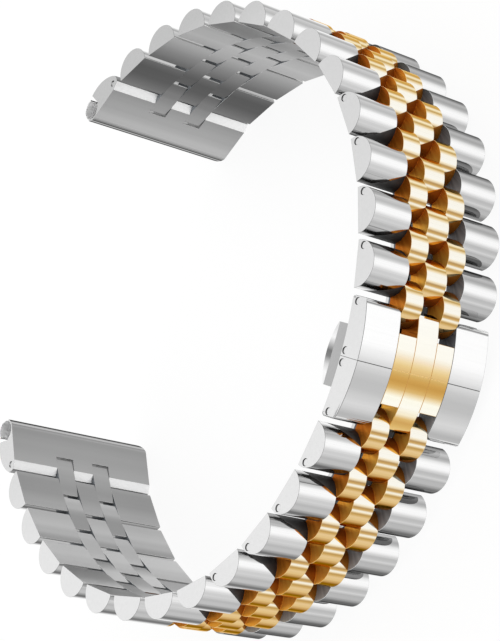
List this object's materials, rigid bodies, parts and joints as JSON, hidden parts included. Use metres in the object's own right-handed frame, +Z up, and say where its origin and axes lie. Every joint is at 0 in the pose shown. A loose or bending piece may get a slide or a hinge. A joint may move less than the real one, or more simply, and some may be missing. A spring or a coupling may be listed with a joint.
{
  "type": "watch strap",
  "caption": "Two-tone five-column metal link strap for a wrist watch, with a hidden butterfly clasp and two push-buttons, shown closed and standing on its edge.",
  "frame": {"origin": "under the middle of the closed strap, at the height of its lower edge", "axes": "+Z up across the strap from its lower edge to its upper edge, +X out through the closed clasp, +Y towards the upper arm"},
  "size_m": [0.0598, 0.0698, 0.02],
  "materials": {
    "steel": "polished outer faces, brushed wrist faces",
    "gold": "gold-tone plating, polished",
    "spring": "bright wire"
  },
  "bodies": {
    "clasp_base": {"clasp_base": "steel", "button_spring": "spring"},
    "front_button": {"front_button": "steel"},
    "back_button": {"back_button": "steel"},
    "upper_blade": {"upper_blade": "steel"},
    "lower_blade": {"lower_blade": "steel"},
    "upper_cover": {"upper_cover": "steel"},
    "lower_cover": {"lower_cover": "steel"},
    "upper_pair_01": {"upper_pair_01": "gold"},
    "upper_row_01": {"upper_row_01": "steel"},
    "upper_pair_02": {"upper_pair_02": "gold"},
    "upper_row_02": {"upper_row_02": "steel"},
    "upper_pair_03": {"upper_pair_03": "gold"},
    "upper_row_03": {"upper_row_03": "steel"},
    "upper_pair_04": {"upper_pair_04": "gold"},
    "upper_row_04": {"upper_row_04": "steel"},
    "upper_pair_05": {"upper_pair_05": "gold"},
    "upper_row_05": {"upper_row_05": "steel"},
    "upper_pair_06": {"upper_pair_06": "gold"},
    "upper_row_06": {"upper_row_06": "steel"},
    "upper_pair_07": {"upper_pair_07": "gold"},
    "upper_row_07": {"upper_row_07": "steel"},
    "upper_pair_08": {"upper_pair_08": "gold"},
    "upper_row_08": {"upper_row_08": "steel"},
    "upper_pair_09": {"upper_pair_09": "gold"},
    "upper_row_09": {"upper_row_09": "steel"},
    "upper_pair_10": {"upper_pair_10": "gold"},
    "upper_row_10": {"upper_row_10": "steel"},
    "upper_pair_11": {"upper_pair_11": "gold"},
    "upper_row_11": {"upper_row_11": "steel"},
    "upper_pair_12": {"upper_pair_12": "gold"},
    "upper_row_12": {"upper_row_12": "steel"},
    "upper_pair_13": {"upper_pair_13": "gold"},
    "upper_end_link": {"upper_end_link": "steel"},
    "lower_pair_01": {"lower_pair_01": "gold"},
    "lower_row_01": {"lower_row_01": "steel"},
    "lower_pair_02": {"lower_pair_02": "gold"},
    "lower_row_02": {"lower_row_02": "steel"},
    "lower_pair_03": {"lower_pair_03": "gold"},
    "lower_row_03": {"lower_row_03": "steel"},
    "lower_pair_04": {"lower_pair_04": "gold"},
    "lower_row_04": {"lower_row_04": "steel"},
    "lower_pair_05": {"lower_pair_05": "gold"},
    "lower_row_05": {"lower_row_05": "steel"},
    "lower_pair_06": {"lower_pair_06": "gold"},
    "lower_row_06": {"lower_row_06": "steel"},
    "lower_pair_07": {"lower_pair_07": "gold"},
    "lower_row_07": {"lower_row_07": "steel"},
    "lower_pair_08": {"lower_pair_08": "gold"},
    "lower_row_08": {"lower_row_08": "steel"},
    "lower_pair_09": {"lower_pair_09": "gold"},
    "lower_row_09": {"lower_row_09": "steel"},
    "lower_pair_10": {"lower_pair_10": "gold"},
    "lower_row_10": {"lower_row_10": "steel"},
    "lower_pair_11": {"lower_pair_11": "gold"},
    "lower_row_11": {"lower_row_11": "steel"},
    "lower_pair_12": {"lower_pair_12": "gold"},
    "lower_row_12": {"lower_row_12": "steel"},
    "lower_pair_13": {"lower_pair_13": "gold"},
    "lower_end_link": {"lower_end_link": "steel"}
  },
  "joints": [
    {"name": "upper_blade_fold", "type": "hinge", "parent": "clasp_base", "child": "upper_blade", "pos_m": [0.0226, 0.0146, 0.01], "axis": [0, 0, 1], "range_deg": [0, 150]},
    {"name": "lower_blade_fold", "type": "hinge", "parent": "clasp_base", "child": "lower_blade", "pos_m": [0.0226, -0.0146, 0.01], "axis": [0, 0, -1], "range_deg": [0, 150]},
    {"name": "front_button_press", "type": "slide", "parent": "clasp_base", "child": "front_button", "axis": [0, 0, -1], "range_m": [0, 0.0008], "stiffness_N_per_m": 500, "springref_m": -0.0005, "deforming": ["button_spring"]},
    {"name": "back_button_press", "type": "slide", "parent": "clasp_base", "child": "back_button", "axis": [0, 0, 1], "range_m": [0, 0.0008], "stiffness_N_per_m": 500, "springref_m": -0.0005},
    {"name": "upper_cover_turn", "type": "hinge", "parent": "upper_blade", "child": "upper_cover", "pos_m": [0.02767, 0.00062, 0.01], "axis": [0, 0, 1], "range_deg": [-150, 0]},
    {"name": "lower_cover_turn", "type": "hinge", "parent": "lower_blade", "child": "lower_cover", "pos_m": [0.02767, -0.00062, 0.01], "axis": [0, 0, -1], "range_deg": [-150, 0]},
    {"name": "upper_end_link_turn", "type": "hinge", "parent": "upper_pair_13", "child": "upper_end_link", "pos_m": [-0.02535, 0.02353, 0.01], "axis": [0, 0, -1], "range_deg": [-15, 15]},
    {"name": "lower_end_link_turn", "type": "hinge", "parent": "lower_pair_13", "child": "lower_end_link", "pos_m": [-0.02535, -0.02353, 0.01], "axis": [0, 0, 1], "range_deg": [-15, 15]},
    {"name": "upper_pair_01_turn", "type": "hinge", "parent": "upper_cover", "child": "upper_pair_01", "pos_m": [0.0276, 0.00565, 0.01], "axis": [0, 0, 1], "range_deg": [-15, 0]},
    {"name": "upper_row_01_turn", "type": "hinge", "parent": "upper_pair_01", "child": "upper_row_01", "pos_m": [0.02726, 0.00769, 0.01], "axis": [0, 0, -1], "range_deg": [0, 15]},
    {"name": "upper_pair_02_turn", "type": "hinge", "parent": "upper_row_01", "child": "upper_pair_02", "pos_m": [0.02636, 0.01118, 0.01], "axis": [0, 0, 1], "range_deg": [-15, 0]},
    {"name": "upper_row_02_turn", "type": "hinge", "parent": "upper_pair_02", "child": "upper_row_02", "pos_m": [0.02568, 0.01314, 0.01], "axis": [0, 0, -1], "range_deg": [0, 15]},
    {"name": "upper_pair_07_turn", "type": "hinge", "parent": "upper_row_06", "child": "upper_pair_07", "pos_m": [0.00782, 0.03123, 0.01], "axis": [0, 0, 1], "range_deg": [-15, 15]},
    {"name": "upper_row_07_turn", "type": "hinge", "parent": "upper_pair_07", "child": "upper_row_07", "pos_m": [0.00586, 0.03187, 0.01], "axis": [0, 0, -1], "range_deg": [-15, 15]},
    {"name": "upper_pair_13_turn", "type": "hinge", "parent": "upper_row_12", "child": "upper_pair_13", "pos_m": [-0.02393, 0.02504, 0.01], "axis": [0, 0, 1], "range_deg": [-15, 15]},
    {"name": "lower_pair_01_turn", "type": "hinge", "parent": "lower_cover", "child": "lower_pair_01", "pos_m": [0.0276, -0.00565, 0.01], "axis": [0, 0, -1], "range_deg": [-15, 0]},
    {"name": "lower_row_01_turn", "type": "hinge", "parent": "lower_pair_01", "child": "lower_row_01", "pos_m": [0.02726, -0.00769, 0.01], "axis": [0, 0, 1], "range_deg": [0, 15]},
    {"name": "lower_pair_02_turn", "type": "hinge", "parent": "lower_row_01", "child": "lower_pair_02", "pos_m": [0.02636, -0.01118, 0.01], "axis": [0, 0, -1], "range_deg": [-15, 0]},
    {"name": "lower_row_02_turn", "type": "hinge", "parent": "lower_pair_02", "child": "lower_row_02", "pos_m": [0.02568, -0.01314, 0.01], "axis": [0, 0, 1], "range_deg": [0, 15]},
    {"name": "lower_pair_07_turn", "type": "hinge", "parent": "lower_row_06", "child": "lower_pair_07", "pos_m": [0.00782, -0.03123, 0.01], "axis": [0, 0, -1], "range_deg": [-15, 15]},
    {"name": "lower_row_07_turn", "type": "hinge", "parent": "lower_pair_07", "child": "lower_row_07", "pos_m": [0.00586, -0.03187, 0.01], "axis": [0, 0, 1], "range_deg": [-15, 15]},
    {"name": "lower_pair_13_turn", "type": "hinge", "parent": "lower_row_12", "child": "lower_pair_13", "pos_m": [-0.02393, -0.02504, 0.01], "axis": [0, 0, -1], "range_deg": [-15, 15]},
    {"name": "upper_pair_03_turn", "type": "hinge", "parent": "upper_row_02", "child": "upper_pair_03", "pos_m": [0.02425, 0.01644, 0.01], "axis": [0, 0, 1], "range_deg": [-15, 15]},
    {"name": "upper_row_03_turn", "type": "hinge", "parent": "upper_pair_03", "child": "upper_row_03", "pos_m": [0.02327, 0.01826, 0.01], "axis": [0, 0, -1], "range_deg": [-15, 15]},
    {"name": "upper_pair_04_turn", "type": "hinge", "parent": "upper_row_03", "child": "upper_pair_04", "pos_m": [0.02131, 0.02128, 0.01], "axis": [0, 0, 1], "range_deg": [-15, 15]},
    {"name": "upper_row_04_turn", "type": "hinge", "parent": "upper_pair_04", "child": "upper_row_04", "pos_m": [0.02002, 0.0229, 0.01], "axis": [0, 0, -1], "range_deg": [-15, 15]},
    {"name": "upper_pair_05_turn", "type": "hinge", "parent": "upper_row_04", "child": "upper_pair_05", "pos_m": [0.01752, 0.02549, 0.01], "axis": [0, 0, 1], "range_deg": [-15, 15]},
    {"name": "upper_row_05_turn", "type": "hinge", "parent": "upper_pair_05", "child": "upper_row_05", "pos_m": [0.01594, 0.02683, 0.01], "axis": [0, 0, -1], "range_deg": [-15, 15]},
    {"name": "upper_pair_06_turn", "type": "hinge", "parent": "upper_row_05", "child": "upper_pair_06", "pos_m": [0.01297, 0.02887, 0.01], "axis": [0, 0, 1], "range_deg": [-15, 15]},
    {"name": "upper_row_06_turn", "type": "hinge", "parent": "upper_pair_06", "child": "upper_row_06", "pos_m": [0.01115, 0.02986, 0.01], "axis": [0, 0, -1], "range_deg": [-15, 15]},
    {"name": "upper_pair_08_turn", "type": "hinge", "parent": "upper_row_07", "child": "upper_pair_08", "pos_m": [0.00235, 0.03271, 0.01], "axis": [0, 0, 1], "range_deg": [-15, 15]},
    {"name": "upper_row_08_turn", "type": "hinge", "parent": "upper_pair_08", "child": "upper_row_08", "pos_m": [0.0003, 0.033, 0.01], "axis": [0, 0, -1], "range_deg": [-15, 15]},
    {"name": "upper_pair_09_turn", "type": "hinge", "parent": "upper_row_08", "child": "upper_pair_09", "pos_m": [-0.00329, 0.03316, 0.01], "axis": [0, 0, 1], "range_deg": [-15, 15]},
    {"name": "upper_row_09_turn", "type": "hinge", "parent": "upper_pair_09", "child": "upper_row_09", "pos_m": [-0.00536, 0.03307, 0.01], "axis": [0, 0, -1], "range_deg": [-15, 15]},
    {"name": "upper_pair_10_turn", "type": "hinge", "parent": "upper_row_09", "child": "upper_pair_10", "pos_m": [-0.00893, 0.0326, 0.01], "axis": [0, 0, 1], "range_deg": [-15, 15]},
    {"name": "upper_row_10_turn", "type": "hinge", "parent": "upper_pair_10", "child": "upper_row_10", "pos_m": [-0.01095, 0.03215, 0.01], "axis": [0, 0, -1], "range_deg": [-15, 15]},
    {"name": "upper_pair_11_turn", "type": "hinge", "parent": "upper_row_10", "child": "upper_pair_11", "pos_m": [-0.01439, 0.03107, 0.01], "axis": [0, 0, 1], "range_deg": [-15, 15]},
    {"name": "upper_row_11_turn", "type": "hinge", "parent": "upper_pair_11", "child": "upper_row_11", "pos_m": [-0.01629, 0.03024, 0.01], "axis": [0, 0, -1], "range_deg": [-15, 15]},
    {"name": "upper_pair_12_turn", "type": "hinge", "parent": "upper_row_11", "child": "upper_pair_12", "pos_m": [-0.01942, 0.02847, 0.01], "axis": [0, 0, 1], "range_deg": [-15, 15]},
    {"name": "upper_row_12_turn", "type": "hinge", "parent": "upper_pair_12", "child": "upper_row_12", "pos_m": [-0.02113, 0.0273, 0.01], "axis": [0, 0, -1], "range_deg": [-15, 15]},
    {"name": "lower_pair_03_turn", "type": "hinge", "parent": "lower_row_02", "child": "lower_pair_03", "pos_m": [0.02425, -0.01644, 0.01], "axis": [0, 0, -1], "range_deg": [-15, 15]},
    {"name": "lower_row_03_turn", "type": "hinge", "parent": "lower_pair_03", "child": "lower_row_03", "pos_m": [0.02327, -0.01826, 0.01], "axis": [0, 0, 1], "range_deg": [-15, 15]},
    {"name": "lower_pair_04_turn", "type": "hinge", "parent": "lower_row_03", "child": "lower_pair_04", "pos_m": [0.02131, -0.02128, 0.01], "axis": [0, 0, -1], "range_deg": [-15, 15]},
    {"name": "lower_row_04_turn", "type": "hinge", "parent": "lower_pair_04", "child": "lower_row_04", "pos_m": [0.02002, -0.0229, 0.01], "axis": [0, 0, 1], "range_deg": [-15, 15]},
    {"name": "lower_pair_05_turn", "type": "hinge", "parent": "lower_row_04", "child": "lower_pair_05", "pos_m": [0.01752, -0.02549, 0.01], "axis": [0, 0, -1], "range_deg": [-15, 15]},
    {"name": "lower_row_05_turn", "type": "hinge", "parent": "lower_pair_05", "child": "lower_row_05", "pos_m": [0.01594, -0.02683, 0.01], "axis": [0, 0, 1], "range_deg": [-15, 15]},
    {"name": "lower_pair_06_turn", "type": "hinge", "parent": "lower_row_05", "child": "lower_pair_06", "pos_m": [0.01297, -0.02887, 0.01], "axis": [0, 0, -1], "range_deg": [-15, 15]},
    {"name": "lower_row_06_turn", "type": "hinge", "parent": "lower_pair_06", "child": "lower_row_06", "pos_m": [0.01115, -0.02986, 0.01], "axis": [0, 0, 1], "range_deg": [-15, 15]},
    {"name": "lower_pair_08_turn", "type": "hinge", "parent": "lower_row_07", "child": "lower_pair_08", "pos_m": [0.00235, -0.03271, 0.01], "axis": [0, 0, -1], "range_deg": [-15, 15]},
    {"name": "lower_row_08_turn", "type": "hinge", "parent": "lower_pair_08", "child": "lower_row_08", "pos_m": [0.0003, -0.033, 0.01], "axis": [0, 0, 1], "range_deg": [-15, 15]},
    {"name": "lower_pair_09_turn", "type": "hinge", "parent": "lower_row_08", "child": "lower_pair_09", "pos_m": [-0.00329, -0.03316, 0.01], "axis": [0, 0, -1], "range_deg": [-15, 15]},
    {"name": "lower_row_09_turn", "type": "hinge", "parent": "lower_pair_09", "child": "lower_row_09", "pos_m": [-0.00536, -0.03307, 0.01], "axis": [0, 0, 1], "range_deg": [-15, 15]},
    {"name": "lower_pair_10_turn", "type": "hinge", "parent": "lower_row_09", "child": "lower_pair_10", "pos_m": [-0.00893, -0.0326, 0.01], "axis": [0, 0, -1], "range_deg": [-15, 15]},
    {"name": "lower_row_10_turn", "type": "hinge", "parent": "lower_pair_10", "child": "lower_row_10", "pos_m": [-0.01095, -0.03215, 0.01], "axis": [0, 0, 1], "range_deg": [-15, 15]},
    {"name": "lower_pair_11_turn", "type": "hinge", "parent": "lower_row_10", "child": "lower_pair_11", "pos_m": [-0.01439, -0.03107, 0.01], "axis": [0, 0, -1], "range_deg": [-15, 15]},
    {"name": "lower_row_11_turn", "type": "hinge", "parent": "lower_pair_11", "child": "lower_row_11", "pos_m": [-0.01629, -0.03024, 0.01], "axis": [0, 0, 1], "range_deg": [-15, 15]},
    {"name": "lower_pair_12_turn", "type": "hinge", "parent": "lower_row_11", "child": "lower_pair_12", "pos_m": [-0.01942, -0.02847, 0.01], "axis": [0, 0, -1], "range_deg": [-15, 15]},
    {"name": "lower_row_12_turn", "type": "hinge", "parent": "lower_pair_12", "child": "lower_row_12", "pos_m": [-0.02113, -0.0273, 0.01], "axis": [0, 0, 1], "range_deg": [-15, 15]}
  ],
  "couplings": [
    {"joint": "upper_cover_turn", "follows": "upper_blade_fold", "ratio": -1},
    {"joint": "lower_cover_turn", "follows": "lower_blade_fold", "ratio": -1}
  ]
}
